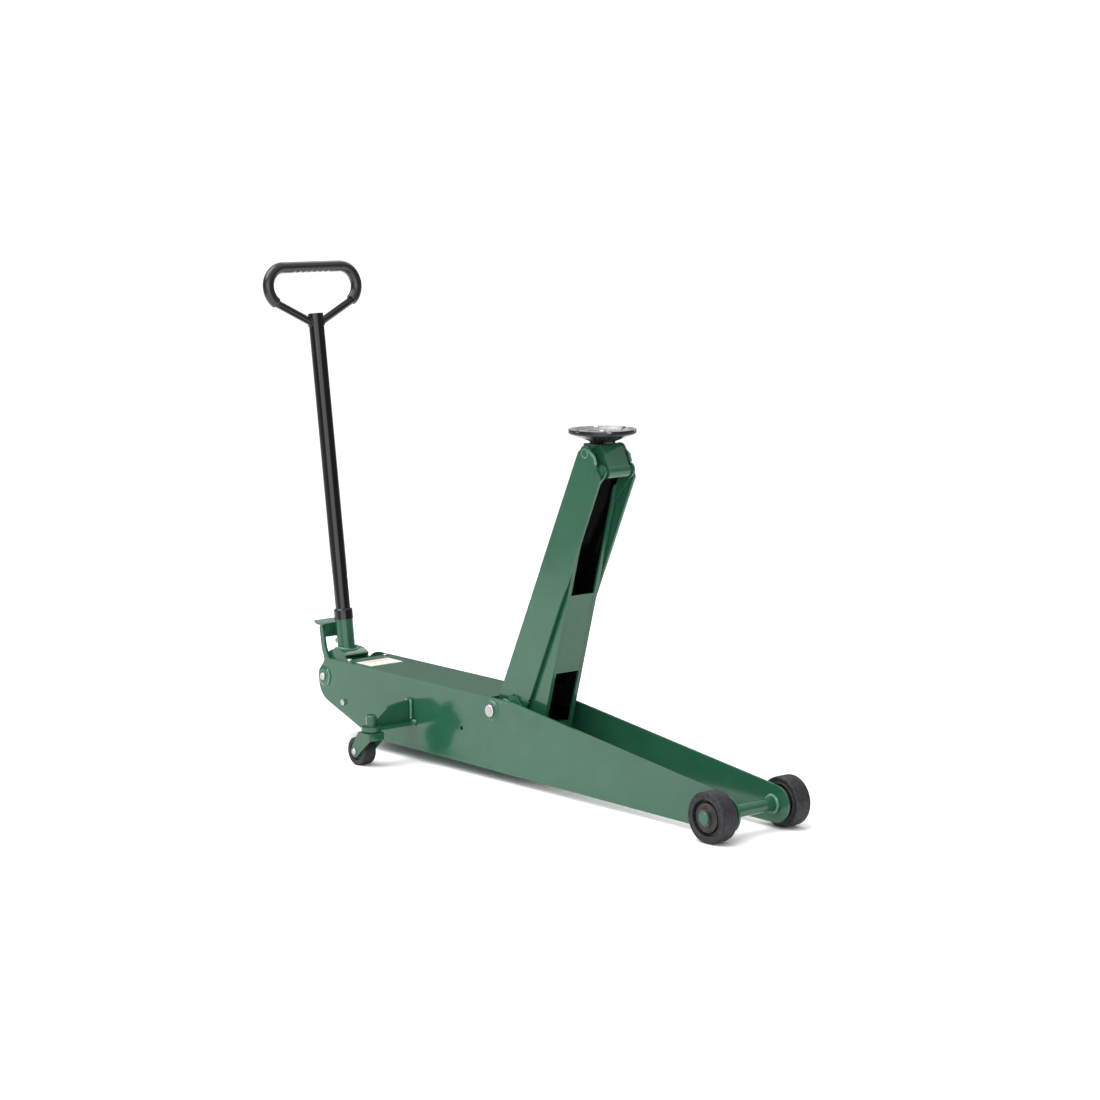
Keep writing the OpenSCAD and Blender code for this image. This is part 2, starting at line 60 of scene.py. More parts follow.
def at(x, y, z):
    """A point of the jack's own axes, in millimetres, as a point of the frame."""
    return ORIGIN + Vector((x, y, z)) * MM


AXLE = centre("front_axle")
MAIN = centre("main_pivot_pin")
YOKE = centre("handle_pivot_bolts")
TOP = centre("saddle_pivot_pin")
SEAT = at(261, 0, 722)                 # middle of the face that the saddle turns on
LEAN = math.radians(7.42)              # backward lean of the stored handle
HANDLE_UP = Vector((-math.sin(LEAN), 0, math.cos(LEAN)))
HANDLE_FWD = Vector((math.cos(LEAN), 0, math.sin(LEAN)))


# ---- driving sizes, in millimetres on the jack's own axes ----
SIDES = (("right", -1), ("left", 1))   # each side's name and the sign of its y
SIDE_OUT = 68.5                        # outer face of a side plate
SIDE_IN = 63.5                         # inner face of a side plate
ARM_OUT = 48.5                         # outer face of an arm plate
ARM_IN = 42.5                          # inner face of an arm plate
ARM_ANGLE = 63.85                      # raised arm above the horizontal, in degrees
LINK_IN = 31.1                         # inner face of a link cheek's web
WHEEL_Y = 98.6                         # middle of a front wheel
WHEEL_HALF = 20                        # half the width of a front wheel
WHEEL_R = 50                           # outside radius of a front tyre
TYRE_IN = 36                           # inside radius of a front tyre
CASTER_X = -286.5                      # swivel axis of a caster
CASTER_Y = 174
KINGPIN_TOP = 112                      # top of a caster's kingpin tube
FORK_FRONT_X = -268.4                  # front of the plate that closes a caster fork
GUSSET_X = (-293.4, -279.6)            # weld lines on both faces of an outrigger's gusset
OUTRIGGER_TOP = 87.4                   # weld lines over and under an outrigger's flange
OUTRIGGER_LOW = 79.0
PLATE_TOP = 171.2                      # weld on the top edge of a side plate, at the main pivot
COVER_SCREW = (-528, 50, 183.5)        # foot of the left screw of the top cover
CORNER_R = 61                          # arm's lower corner, cut at this radius for the link pins
RIM_R = 68                             # radius of the saddle's rim
RIM_TOP = 29.0                         # height of the rim over the seat
NOTCH_TOP = 25.5                       # height of the rim inside a notch
NOTCH_HALF = 4.5                       # half the width of a notch, at radius NOTCH_R
NOTCH_R = 64
DISH_TOP = 21.6                        # height of the dish's floor over the seat
BARE_FROM = 21                         # inside the rim, faces above this height are bare metal
COLLAR_R = 26.4                        # bead round the handle's socket
HOOD_R = 57                            # outside radius of the yoke's hood
GRIP_UP = 872.5                        # middle of the grip's bends, up the handle
GRIP_HALF = 78                         # half the length of the grip's straight bar
GRIP_BEND = 43                         # radius of the grip's bends
GRIP_ARC = 145                         # turn of each bend, in degrees
LEG_UP = 791.5                         # where the grip's legs enter the tube, up and to the side
LEG_Y = 16.6
SLEEVE_R = 12.45                       # radius of the grip's sleeve
RIDGE_GAP = 15.5                       # distance between finger ridges
RIDGE_DEPTH = 1.4
RIDGE_END = 58                         # the ridges end this far from the middle
WELD_STEP = 1.1                        # distance between the rings of a weld bead
RIPPLE_RINGS = 3.4                     # rings from one ripple of a bead to the next
SHARP_ANGLE = 38                       # edges that turn by more degrees than this stay sharp


def on_handle(x, y, s):
    """A point beside the handle: x forward, y left, s up its length, in millimetres."""
    return YOKE + (HANDLE_FWD * x + Vector((0, y, 0)) + HANDLE_UP * s) * MM


# ---- mesh helpers ----
def mesh_piece(name, verts, faces, material, body):
    """A closed mesh that rides on a body and one material."""
    mesh = bpy.data.meshes.new(name)
    mesh.from_pydata([tuple(v) for v in verts], [], faces)
    tidy = bmesh.new()
    tidy.from_mesh(mesh)
    bmesh.ops.recalc_face_normals(tidy, faces=tidy.faces)
    tidy.to_mesh(mesh)
    tidy.free()
    obj = bpy.data.objects.new(name, mesh)
    bpy.context.scene.collection.objects.link(obj)
    mesh.materials.append(material)
    for p in mesh.polygons:
        p.use_smooth = True
    mesh.set_sharp_from_angle(angle=math.radians(SHARP_ANGLE))
    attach(obj, body)
    return obj


def fillet(points, radii, steps=4):
    """A closed outline with each corner rounded by its own radius."""
    out = []
    n = len(points)
    for i in range(n):
        p = Vector(points[i])
        a = (Vector(points[i - 1]) - p).normalized()
        b = (Vector(points[(i + 1) % n]) - p).normalized()
        half = a.angle(b) / 2
        r = radii[i] if hasattr(radii, "__len__") else radii
        if r <= 0 or half > math.pi / 2 - 0.03:
            out.append(p)
            continue
        cut = r / math.tan(half)
        middle = p + (a + b).normalized() * (r / math.sin(half))
        s, e = p + a * cut - middle, p + b * cut - middle
        turn = math.pi - 2 * half
        for k in range(steps + 1):
            t = k / steps
            w = math.sin(turn)
            out.append(middle + (s * math.sin((1 - t) * turn) + e * math.sin(t * turn)) / w)
    return out


def ring_faces(rings, around, closed):
    """Quads over a grid of rings, each of `around` points, with a cap on each end of an open one."""
    faces = []
    for i in range(rings if closed else rings - 1):
        j = (i + 1) % rings
        for k in range(around):
            m = (k + 1) % around
            faces.append((i * around + k, i * around + m, j * around + m, j * around + k))
    if not closed:
        faces.append(tuple(range(around)))
        faces.append(tuple((rings - 1) * around + k for k in range(around)))
    return faces


def lathe(name, origin, profile, material, body, steps=96, axis="Y"):
    """Turns a closed outline of (radius, along) points, in millimetres, round a Y or Z axis."""
    verts = []
    for i in range(steps):
        a = 2 * math.pi * i / steps
        for r, w in profile:
            if axis == "Y":
                v = Vector((r * math.cos(a), w, r * math.sin(a)))
            else:
                v = Vector((r * math.cos(a), r * math.sin(a), w))
            verts.append(origin + v * MM)
    faces = ring_faces(steps, len(profile), closed=True)
    return mesh_piece(name, verts, faces, material, body)


def frames_along(points, closed):
    """A smooth pair of side directions at each point of a path."""
    n = len(points)
    tangents = []
    for i in range(n):
        a = points[i - 1] if closed or i else points[0]
        b = points[(i + 1) % n] if closed or i < n - 1 else points[-1]
        tangents.append((b - a).normalized())
    side = tangents[0].orthogonal().normalized()
    out = []
    for t in tangents:
        side = (side - t * side.dot(t)).normalized()
        out.append((side, t.cross(side)))
    return out


def sweep(name, points, radius, material, body, around, closed):
    """A tube along points; radius is a function of (ring, angle), in metres."""
    verts = []
    for i, (p, (u, v)) in enumerate(zip(points, frames_along(points, closed))):
        for k in range(around):
            a = 2 * math.pi * k / around
            verts.append(p + (u * math.cos(a) + v * math.sin(a)) * radius(i, a))
    faces = ring_faces(len(points), around, closed)
    return mesh_piece(name, verts, faces, material, body)


def resample(points, gap, closed=False):
    """The same path with points about gap apart."""
    pts = list(points) + ([points[0]] if closed else [])
    total = sum((b - a).length for a, b in zip(pts, pts[1:]))
    count = max(4, round(total / gap))
    out, i, run = [], 0, 0.0
    for k in range(count if closed else count + 1):
        want = total * k / count
        while i < len(pts) - 2 and run + (pts[i + 1] - pts[i]).length < want:
            run += (pts[i + 1] - pts[i]).length
            i += 1
        step = (pts[i + 1] - pts[i]).length
        out.append(pts[i].lerp(pts[i + 1], min(1, (want - run) / step) if step else 0))
    return out


def weld(name, points, size, body, closed=False, material=None):
    """A weld bead of a radius in millimetres, with the ripples of a hand-laid seam, under the paint; without
    a material it takes the lighter bead green, a painted highlight.
    """
    path = resample(points, WELD_STEP * MM, closed)
    n = len(path)
    phase = random.random() * 6

    def radius(i, a):
        ripple = 0.12 * math.sin(i * 2 * math.pi / RIPPLE_RINGS + phase) + 0.06 * math.sin(i * 0.37 + phase)
        end = 1 if closed else min(1, 0.55 + min(i, n - 1 - i) * 0.15)
        return size * MM * (1 + ripple) * end

    return sweep(name, path, radius, material or BEAD_HIGHLIGHT, body, 10, closed)


def ring_path(origin, r, y, start=0, sweep_deg=360):
    """Points on a circle about a Y axis, or on an arc of it, with angles in degrees."""
    steps = 72
    count = steps if sweep_deg == 360 else steps + 1
    out = []
    for i in range(count):
        a = math.radians(start + sweep_deg * i / steps)
        out.append(origin + Vector((r * math.cos(a), y, r * math.sin(a))) * MM)
    return out


def round_weld(name, origin, r, y, size, body):
    """A weld bead all round a pin or a boss, at radius r and at y along it, in millimetres."""
    weld(name, ring_path(origin, r, y), size, body, closed=True)


def prism(name, outline, place, depth, material, body, edge=0.6):
    """A plate with rounded edges: outline points (a, b) in mm, place(a, b, d) gives the point."""
    flat = [Vector((p[0], p[1])) for p in outline]
    area = sum(a.x * b.y - a.y * b.x for a, b in zip(flat, flat[1:] + flat[:1]))
    if area < 0:
        flat.reverse()
    n = len(flat)
    inward = []
    for i in range(n):
        a = (flat[i] - flat[i - 1]).normalized()
        b = (flat[(i + 1) % n] - flat[i]).normalized()
        m = Vector((-a.y - b.y, a.x + b.x)).normalized()
        inward.append(m / max(0.35, math.cos(a.angle(b) / 2)))
    levels = []
    for t in (0, math.pi / 4, math.pi / 2):
        levels.append((edge * (1 - math.sin(t)), edge * (1 - math.cos(t))))
    rings = levels + [(i, depth - d) for i, d in reversed(levels)]
    verts = []
    for inset, d in rings:
        for p, m in zip(flat, inward):
            q = p + m * inset
            verts.append(place(q.x, q.y, d))
    faces = ring_faces(len(rings), n, closed=False)
    return mesh_piece(name, verts, faces, material, body)


# ---- materials ----
def grey(level):
    """A neutral colour."""
    return (level, level, level)


def start_material(name):
    """A node material, with its tree, object coordinates and shader."""
    m = bpy.data.materials.new(name)
    m.use_nodes = True
    tree = m.node_tree
    coords = tree.nodes.new("ShaderNodeTexCoord")
    return m, tree, coords.outputs["Object"], tree.nodes["Principled BSDF"]


def noise(tree, vector, scale, detail, rough):
    """A cloudy value from 0 to 1 over the surface."""
    n = tree.nodes.new("ShaderNodeTexNoise")
    n.inputs["Scale"].default_value = scale
    n.inputs["Detail"].default_value = detail
    n.inputs["Roughness"].default_value = rough
    tree.links.new(vector, n.inputs["Vector"])
    return n.outputs["Fac"]


def ramp(tree, fac, stops):
    """Turns a value into a colour, by stops of (value, colour)."""
    r = tree.nodes.new("ShaderNodeValToRGB")
    while len(r.color_ramp.elements) < len(stops):
        r.color_ramp.elements.new(0.5)
    for e, (pos, colour) in zip(r.color_ramp.elements, stops):
        e.position = pos
        e.color = (*colour, 1)
    tree.links.new(fac, r.inputs["Fac"])
    return r.outputs["Color"]


def span(tree, fac, low, high, start=0.3, end=0.7):
    """Maps a value between start and end to between low and high."""
    m = tree.nodes.new("ShaderNodeMapRange")
    m.inputs["From Min"].default_value = start
    m.inputs["From Max"].default_value = end
    m.inputs["To Min"].default_value = low
    m.inputs["To Max"].default_value = high
    tree.links.new(fac, m.inputs["Value"])
    return m.outputs["Result"]


def mix(tree, fac, a, b):
    """Blends two colours. The node takes them in sockets 6 and 7, and gives its colour in 2."""
    m = tree.nodes.new("ShaderNodeMix")
    m.data_type = "RGBA"
    tree.links.new(fac, m.inputs[0])
    for value, i in ((a, 6), (b, 7)):
        if isinstance(value, tuple):
            m.inputs[i].default_value = (*value, 1)
        else:
            tree.links.new(value, m.inputs[i])
    return m.outputs[2]


def bump(tree, bsdf, layers):
    """Stacks (height, distance in metres, strength) into the normal."""
    last = None
    for height, distance, strength in layers:
        b = tree.nodes.new("ShaderNodeBump")
        b.inputs["Distance"].default_value = distance
        b.inputs["Strength"].default_value = strength
        tree.links.new(height, b.inputs["Height"])
        if last is not None:
            tree.links.new(last, b.inputs["Normal"])
        last = b.outputs["Normal"]
    tree.links.new(last, bsdf.inputs["Normal"])


def fixed(bsdf, **values):
    """Sets plain values on the shader's own sockets."""
    names = {
        "metallic": "Metallic",
        "coat": "Coat Weight",
        "coat_rough": "Coat Roughness",
        "ior": "IOR",
        "specular": "Specular IOR Level",
    }
    for key, value in values.items():
        bsdf.inputs[names[key]].default_value = value


def paint(name, dark, light, rough, peel, dust, coat):
    """Sprayed enamel: cloudy tone, fine orange peel, a little dust and a few nibs."""
    m, tree, co, bsdf = start_material(name)
    tone = ramp(tree, noise(tree, co, 9, 5, 0.6), [(0.30, dark), (0.70, light)])
    dusty = span(tree, noise(tree, co, 34, 6, 0.7), 0.0, 0.10, 0.52, 0.78)
    colour = mix(tree, dusty, tone, dust)
    nib = span(tree, noise(tree, co, 420, 2, 0.5), 0.0, 0.12, 0.74, 0.80)
    tree.links.new(mix(tree, nib, colour, dark), bsdf.inputs["Base Color"])
    cloud = noise(tree, co, 26, 5, 0.6)
    tree.links.new(span(tree, cloud, rough[0], rough[1]), bsdf.inputs["Roughness"])
    bump(tree, bsdf, [
        (noise(tree, co, 260, 2, 0.4), 0.0004, peel),
        (noise(tree, co, 14, 2, 0.4), 0.0020, 0.5 * peel),
    ])
    fixed(bsdf, coat=coat, coat_rough=0.05, ior=1.5, specular=0.46)
    return m


def metal(name, dark, light, rough, scratch=180, stretch=(1, 1, 1), tarnish=None):
    """Bare or plated metal with fine scratches and a cloudy tone."""
    m, tree, co, bsdf = start_material(name)
    mapping = tree.nodes.new("ShaderNodeMapping")
    mapping.inputs["Scale"].default_value = stretch
    tree.links.new(co, mapping.inputs["Vector"])
    stretched = mapping.outputs["Vector"]
    tone = ramp(tree, noise(tree, co, 60, 5, 0.65), [(0.32, dark), (0.68, light)])
    if tarnish:
        spots = span(tree, noise(tree, co, 140, 4, 0.6), 0.0, 0.65, 0.56, 0.70)
        tone = mix(tree, spots, tone, tarnish)
    tree.links.new(tone, bsdf.inputs["Base Color"])
    lines = noise(tree, stretched, scratch, 6, 0.7)
    tree.links.new(span(tree, lines, rough[0], rough[1]), bsdf.inputs["Roughness"])
    bump(tree, bsdf, [(lines, 0.0003, 0.12), (noise(tree, co, 900, 2, 0.5), 0.0001, 0.10)])
    fixed(bsdf, metallic=1.0)
    return m


def rubber(name, dark, light, grain):
    """Moulded rubber: mottled greys, fine pores and dusty scuffs."""
    m, tree, co, bsdf = start_material(name)
    tone = ramp(tree, noise(tree, co, 190, 6, 0.7), [(0.38, dark), (0.62, light)])
    scuff = span(tree, noise(tree, co, 150, 4, 0.6), 0.0, 0.50, 0.54, 0.66)
    colour = mix(tree, scuff, tone, (0.050, 0.052, 0.058))
    tree.links.new(colour, bsdf.inputs["Base Color"])
    tree.links.new(span(tree, noise(tree, co, 70, 5, 0.6), 0.42, 0.70), bsdf.inputs["Roughness"])
    pores = tree.nodes.new("ShaderNodeTexVoronoi")
    pores.inputs["Scale"].default_value = 850
    tree.links.new(co, pores.inputs["Vector"])
    bump(tree, bsdf, [
        (noise(tree, co, 240, 5, 0.65), 0.0006, grain),
        (pores.outputs["Distance"], 0.0002, 0.20),
    ])
    fixed(bsdf, specular=0.26)
    return m


def plastic(name, dark, light, rough, grain, coat):
    """Moulded or thickly painted surface with a fine grain."""
    m, tree, co, bsdf = start_material(name)
    tone = ramp(tree, noise(tree, co, 40, 5, 0.6), [(0.35, dark), (0.65, light)])
    tree.links.new(tone, bsdf.inputs["Base Color"])
    tree.links.new(span(tree, noise(tree, co, 55, 5, 0.6), *rough), bsdf.inputs["Roughness"])
    bump(tree, bsdf, [
        (noise(tree, co, 1300, 2, 0.5), 0.0001, grain),
        (noise(tree, co, 40, 3, 0.5), 0.0006, 0.08),
    ])
    fixed(bsdf, coat=coat, coat_rough=0.2, specular=0.4)
    return m


def casting(name, dark, light, worn, wear_z, rough):
    """Black-painted casting, rubbed bright on the faces above a height."""
    m, tree, co, bsdf = start_material(name)
    xyz = tree.nodes.new("ShaderNodeSeparateXYZ")
    tree.links.new(co, xyz.inputs[0])
    tone = ramp(tree, noise(tree, co, 50, 6, 0.7), [(0.32, dark), (0.68, light)])
    high = span(tree, xyz.outputs["Z"], 0.0, 1.0, wear_z[0], wear_z[1])
    rubbed = span(tree, noise(tree, co, 75, 6, 0.75), 0.15, 1.0, 0.40, 0.58)
    both = tree.nodes.new("ShaderNodeMath")
    both.operation = "MULTIPLY"
    tree.links.new(high, both.inputs[0])
    tree.links.new(rubbed, both.inputs[1])
    tree.links.new(mix(tree, both.outputs[0], tone, worn), bsdf.inputs["Base Color"])
    tree.links.new(both.outputs[0], bsdf.inputs["Metallic"])
    tree.links.new(span(tree, noise(tree, co, 90, 5, 0.6), *rough), bsdf.inputs["Roughness"])
    bump(tree, bsdf, [
        (noise(tree, co, 260, 4, 0.6), 0.0006, 0.35),
        (noise(tree, co, 60, 3, 0.5), 0.0010, 0.15),
    ])
    fixed(bsdf, coat=0.05, coat_rough=0.18, specular=0.38)
    return m


GREEN = paint("enamel_green", dark=(0.012, 0.071, 0.037), light=(0.017, 0.087, 0.047),
              rough=(0.11, 0.18), peel=0.07, dust=(0.05, 0.12, 0.08), coat=0.06)
# Lighter copy of the green enamel for the weld beads: the lighter colour is painted highlight, the extra
# gloss is real.
BEAD_HIGHLIGHT = paint("bead_green_highlight", dark=(0.020, 0.110, 0.062), light=(0.050, 0.200, 0.125),
             rough=(0.06, 0.12), peel=0.30, dust=(0.10, 0.22, 0.16), coat=0.70)
# Black enamel of the handle, also used as painted shade inside the arm, the link cheeks and the kingpin
# bore.
BLACK = paint("black_enamel_and_shade", dark=grey(0.002), light=grey(0.004),
              rough=(0.09, 0.13), peel=0.010, dust=(0.006, 0.006, 0.007), coat=0.04)
SLEEVE = plastic("grip_plastic", dark=(0.006, 0.007, 0.007), light=(0.010, 0.011, 0.011),
                 rough=(0.18, 0.26), grain=0.04, coat=0.3)
HUB = plastic("hub_brown", dark=(0.008, 0.006, 0.005), light=(0.018, 0.013, 0.011),
              rough=(0.30, 0.46), grain=0.4, coat=0.02)
RUBBER = rubber("tyre_rubber", dark=(0.008, 0.008, 0.009), light=(0.024, 0.025, 0.027), grain=0.45)
ZINC = metal("zinc_plate", dark=(0.36, 0.36, 0.355), light=(0.52, 0.52, 0.51),
             rough=(0.26, 0.46), tarnish=(0.27, 0.26, 0.23))
GROUND = metal("ground_steel", dark=(0.42, 0.42, 0.43), light=(0.60, 0.60, 0.61),
               rough=(0.12, 0.28), scratch=90, stretch=(1, 9, 9))
DARK = metal("blackened_steel", dark=(0.060, 0.058, 0.055), light=(0.120, 0.116, 0.110),
             rough=(0.28, 0.46))
BRONZE = metal("bronze_bush", dark=(0.42, 0.26, 0.10), light=(0.60, 0.40, 0.18), rough=(0.25, 0.45))
CAST = plastic("cast_black", dark=(0.010, 0.010, 0.011), light=(0.022, 0.022, 0.023),
               rough=(0.40, 0.62), grain=0.6, coat=0.15)
SADDLE = casting("saddle_iron", dark=grey(0.006), light=(0.014, 0.013, 0.013),
                 worn=(0.40, 0.39, 0.38), wear_z=(at(0, 0, 750.2).z, at(0, 0, 750.9).z),
                 rough=(0.16, 0.30))
DISH = metal("saddle_dish", dark=(0.24, 0.235, 0.23), light=(0.36, 0.355, 0.35),
             rough=(0.46, 0.60), scratch=120)


def label_material():
    """A blank printed plate: cream ground with a pale orange band."""
    m, tree, co, bsdf = start_material("label_print")
    lo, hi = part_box("rating_plate")
    xyz = tree.nodes.new("ShaderNodeSeparateXYZ")
    tree.links.new(co, xyz.inputs[0])
    tone = ramp(tree, noise(tree, co, 80, 5, 0.6), [(0.3, (0.66, 0.62, 0.55)), (0.7, (0.74, 0.71, 0.64))])
    band = ramp(tree, span(tree, xyz.outputs["X"], 0, 1, lo.x, hi.x), [
        (0.00, (0, 0, 0)), (0.10, (0, 0, 0)), (0.12, (1, 1, 1)), (0.34, (1, 1, 1)), (0.36, (0, 0, 0)),
    ])
    inner = ramp(tree, span(tree, xyz.outputs["Y"], 0, 1, lo.y, hi.y), [
        (0.00, (0, 0, 0)), (0.06, (0, 0, 0)), (0.08, (1, 1, 1)), (0.92, (1, 1, 1)), (0.94, (0, 0, 0)),
    ])
    both = mix(tree, band, (0.0, 0.0, 0.0), inner)
    tree.links.new(mix(tree, both, tone, (0.58, 0.44, 0.34)), bsdf.inputs["Base Color"])
    tree.links.new(span(tree, noise(tree, co, 120, 4, 0.6), 0.30, 0.48), bsdf.inputs["Roughness"])
    bump(tree, bsdf, [(noise(tree, co, 150, 3, 0.5), 0.0003, 0.10)])
    return m


LABEL = label_material()

CAD_LOOKS = {
    "green_paint": (GREEN, [
        "side_plate_right", "side_plate_left", "top_cover", "floor_pan", "front_axle", "pivot_bosses",
        "outrigger_right", "outrigger_left", "handle_yoke", "pedal_fork", "pedal_tread", "handle_socket",
        "arm_side_right", "arm_side_left", "arm_web", "arm_hub", "saddle_pivot_pin", "link_cheek_right",
        "link_cheek_left", "link_web", "saddle_carrier", "level_pin", "caster_fork_right",
        "caster_fork_left",
    ]),
    "rating_label": (LABEL, ["rating_plate"]),
    "zinc_steel": (ZINC, [
        "main_pivot_pin", "handle_pivot_bolts", "side_bolts", "clamp_screw",
        "caster_axle_right", "caster_axle_left", "axle_rings",
    ]),
    "ground_steel": (GROUND, ["ram_rod", "pump_plunger", "pump_roller", "crank_pin", "crank_roller"]),
    "cast_iron": (CAST, [
        "pump_block", "lift_cylinder", "cylinder_gland", "oil_reservoir", "filler_plug", "link_pivot_pins",
        "ram_crosshead", "release_spindle", "lift_crank",
    ]),
    "saddle_iron": (SADDLE, ["saddle"]),
    "bronze": (BRONZE, ["yoke_bushings"]),
    "black_paint": (BLACK, ["handle_tube", "handle_collar", "grip_frame"]),
    "black_plastic": (SLEEVE, ["grip_sleeve"]),
    "tyre": (RUBBER, ["front_tyre_right", "front_tyre_left", "caster_wheel_right", "caster_wheel_left"]),
    "wheel_hub": (HUB, ["front_hub_right", "front_hub_left"]),
}


def soften(obj, width):
    """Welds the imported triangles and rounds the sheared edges."""
    join = obj.modifiers.new("join", "WELD")
    join.merge_threshold = 0.00002
    flat = obj.modifiers.new("flat", "DECIMATE")
    flat.decimate_type = "DISSOLVE"
    flat.angle_limit = math.radians(0.6)
    edge = obj.modifiers.new("edge", "BEVEL")
    edge.width = width
    edge.segments = 2
    edge.limit_method = "ANGLE"
    edge.angle_limit = math.radians(35)
    edge.use_clamp_overlap = True
    even = obj.modifiers.new("even", "WEIGHTED_NORMAL")
    even.mode = "FACE_AREA"
    even.weight = 100
    even.keep_sharp = False


# bevel widths of sheared and cast edges, in metres
EDGES = {
    "side_plate_right": 0.0009, "side_plate_left": 0.0009, "arm_side_right": 0.0010,
    "arm_side_left": 0.0010, "arm_web": 0.0008, "top_cover": 0.0006, "handle_yoke": 0.0010,
    "pedal_fork": 0.0010, "saddle_carrier": 0.0014, "link_cheek_right": 0.0008,
    "link_cheek_left": 0.0008, "link_web": 0.0008, "outrigger_right": 0.0009,
    "outrigger_left": 0.0009, "caster_fork_right": 0.0007, "caster_fork_left": 0.0007,
    "side_bolts": 0.0005, "clamp_screw": 0.0005, "floor_pan": 0.0006, "pump_block": 0.0015,
    "lift_crank": 0.0008, "ram_crosshead": 0.0008,
}


def shade_inside(obj):
    """Paints black shade on the faces that look to the front of the raised arm, where the inside of the arm
    lies in deep shadow.
    """
    lean = math.radians(ARM_ANGLE)
    inward = Vector((math.sin(lean), 0, -math.cos(lean)))
    obj.data.materials.append(BLACK)
    for p in obj.data.polygons:
        if p.normal.dot(inward) > 0.7:
            p.material_index = 1


def dress_cad():
    """Gives every part of the CAD model its material, and rounds the plates' edges."""
    for slot, (material, nodes) in CAD_LOOKS.items():
        for n in nodes:
            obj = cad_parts[n]
            obj.data.materials.clear()
            obj.data.materials.append(material)
            if n == "axle_rings":
                obj.data.materials[0] = DARK
            # the arm web's inside faces get black painted shade
            if n == "arm_web":
                shade_inside(obj)
            if n in EDGES:
                soften(obj, EDGES[n])


# ---- wheels ----
def tyre_profile(half, r_in, r_out):
    """Tyre section: flat tread, round shoulders, a stepped side wall with a rolled lip inside."""
    pts = [
        (r_in - 0.8, -half + 11), (r_in - 0.8, -half + 1.4), (r_in + 0.2, -half + 0.1),
        (r_in + 2.0, -half + 0.1), (r_in + 3.2, -half + 1.5), (r_out - 4.4, -half + 1.5),
        (r_out - 3.2, -half + 0.6), (r_out - 0.5, -half + 2.8), (r_out, -half + 5.5), (r_out, 0),
    ]
    radii = [0, 0.8, 0.8, 0.7, 0.6, 0.5, 1.2, 1.2, 1.2, 0]
    back = [(r, -w) for r, w in reversed(pts[:-1])]
    return fillet(pts + back, radii + list(reversed(radii[:-1])), 3)


def hub_profile(half):
    """Hub section: deep groove inside the tyre, then a disc with two steps and the axle boss."""
    out = [
        (13.08, -half + 1.6), (13.8, -half + 1.0), (17.6, -half + 0.6), (18.8, -half + 3.4),
        (21.0, -half + 3.6), (21.8, -half + 4.6), (26.4, -half + 4.6), (27.2, -half + 3.4),
        (29.0, -half + 3.4), (30.0, -half + 11.0), (35.6, -half + 11.0),
    ]
    radii = [0.2, 0.3, 0.9, 0.8, 0.4, 0.4, 0.4, 0.5, 0.8, 0.8, 0]
    back = [(r, -w) for r, w in reversed(out)]
    return fillet(out + back, radii + list(reversed(radii)), 3)


def front_wheels():
    """A rubber tyre and a brown hub on each end of the axle."""
    for side, s in SIDES:
        body = "front_wheel_" + side
        middle = AXLE + Vector((0, s * WHEEL_Y, 0)) * MM
        section = tyre_profile(WHEEL_HALF, TYRE_IN, WHEEL_R)
        tyre = lathe("tyre_" + side, middle, section, RUBBER, body)
        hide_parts("front_tyre_" + side)
        hub = lathe("hub_" + side, middle, hub_profile(WHEEL_HALF), HUB, body)
        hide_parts("front_hub_" + side)


# ---- saddle ----
def saddle_angles():
    """Angles round the rim, in degrees, each with 1 inside one of the six notches and 0 outside."""
    half = math.degrees(math.asin(NOTCH_HALF / NOTCH_R))
    angles = []
    for notch in range(6):
        c = 30 + 60 * notch
        for off, cut in ((-half - 0.5, 0), (-half + 0.3, 1), (half - 0.3, 1), (half + 0.5, 0)):
            angles.append((c + off, cut))
        angles += [(c + off, 1) for off in (-2, 0, 2)]
        angles += [(c + off, 0) for off in range(8, 53, 3)]
    return sorted(angles)


def saddle_section(cut):
    """Section of the casting: underside, rim, and back over the dish to the middle."""
    top = NOTCH_TOP if cut else RIM_TOP
    slope = 56 if cut else 53.5
    pts = [
        (1.0, 0.4), (25, 0.4), (26, 4.2), (RIM_R - 1.6, 19.2), (RIM_R, 21.5), (RIM_R, top),
        (RIM_R - 7.8, top), (slope, 23.0), (50, DISH_TOP), (1.0, DISH_TOP),
    ]
    return fillet(pts, [0, 1, 2, 1.5, 1.2, 1.1, 1.1, 1.0, 1.5, 0], 3)


def saddle():
    """Round casting with notches in its rim, rubbed to bare metal inside the rim."""
    angles = saddle_angles()
    verts = []
    for degrees, cut in angles:
        a = math.radians(degrees)
        section = saddle_section(cut)
        for r, w in section:
            verts.append(SEAT + Vector((r * math.cos(a), r * math.sin(a), w)) * MM)
    faces = ring_faces(len(angles), len(section), closed=True)
    dish = mesh_piece("saddle_casting", verts, faces, SADDLE, "saddle")
    dish.data.materials.append(DISH)
    for p in dish.data.polygons:
        spot = (p.center - SEAT) / MM
        inside = Vector((spot.x, spot.y)).length < RIM_R - 0.7
        if inside and spot.z > BARE_FROM and p.normal.z > -0.1:
            p.material_index = 1
    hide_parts("saddle")


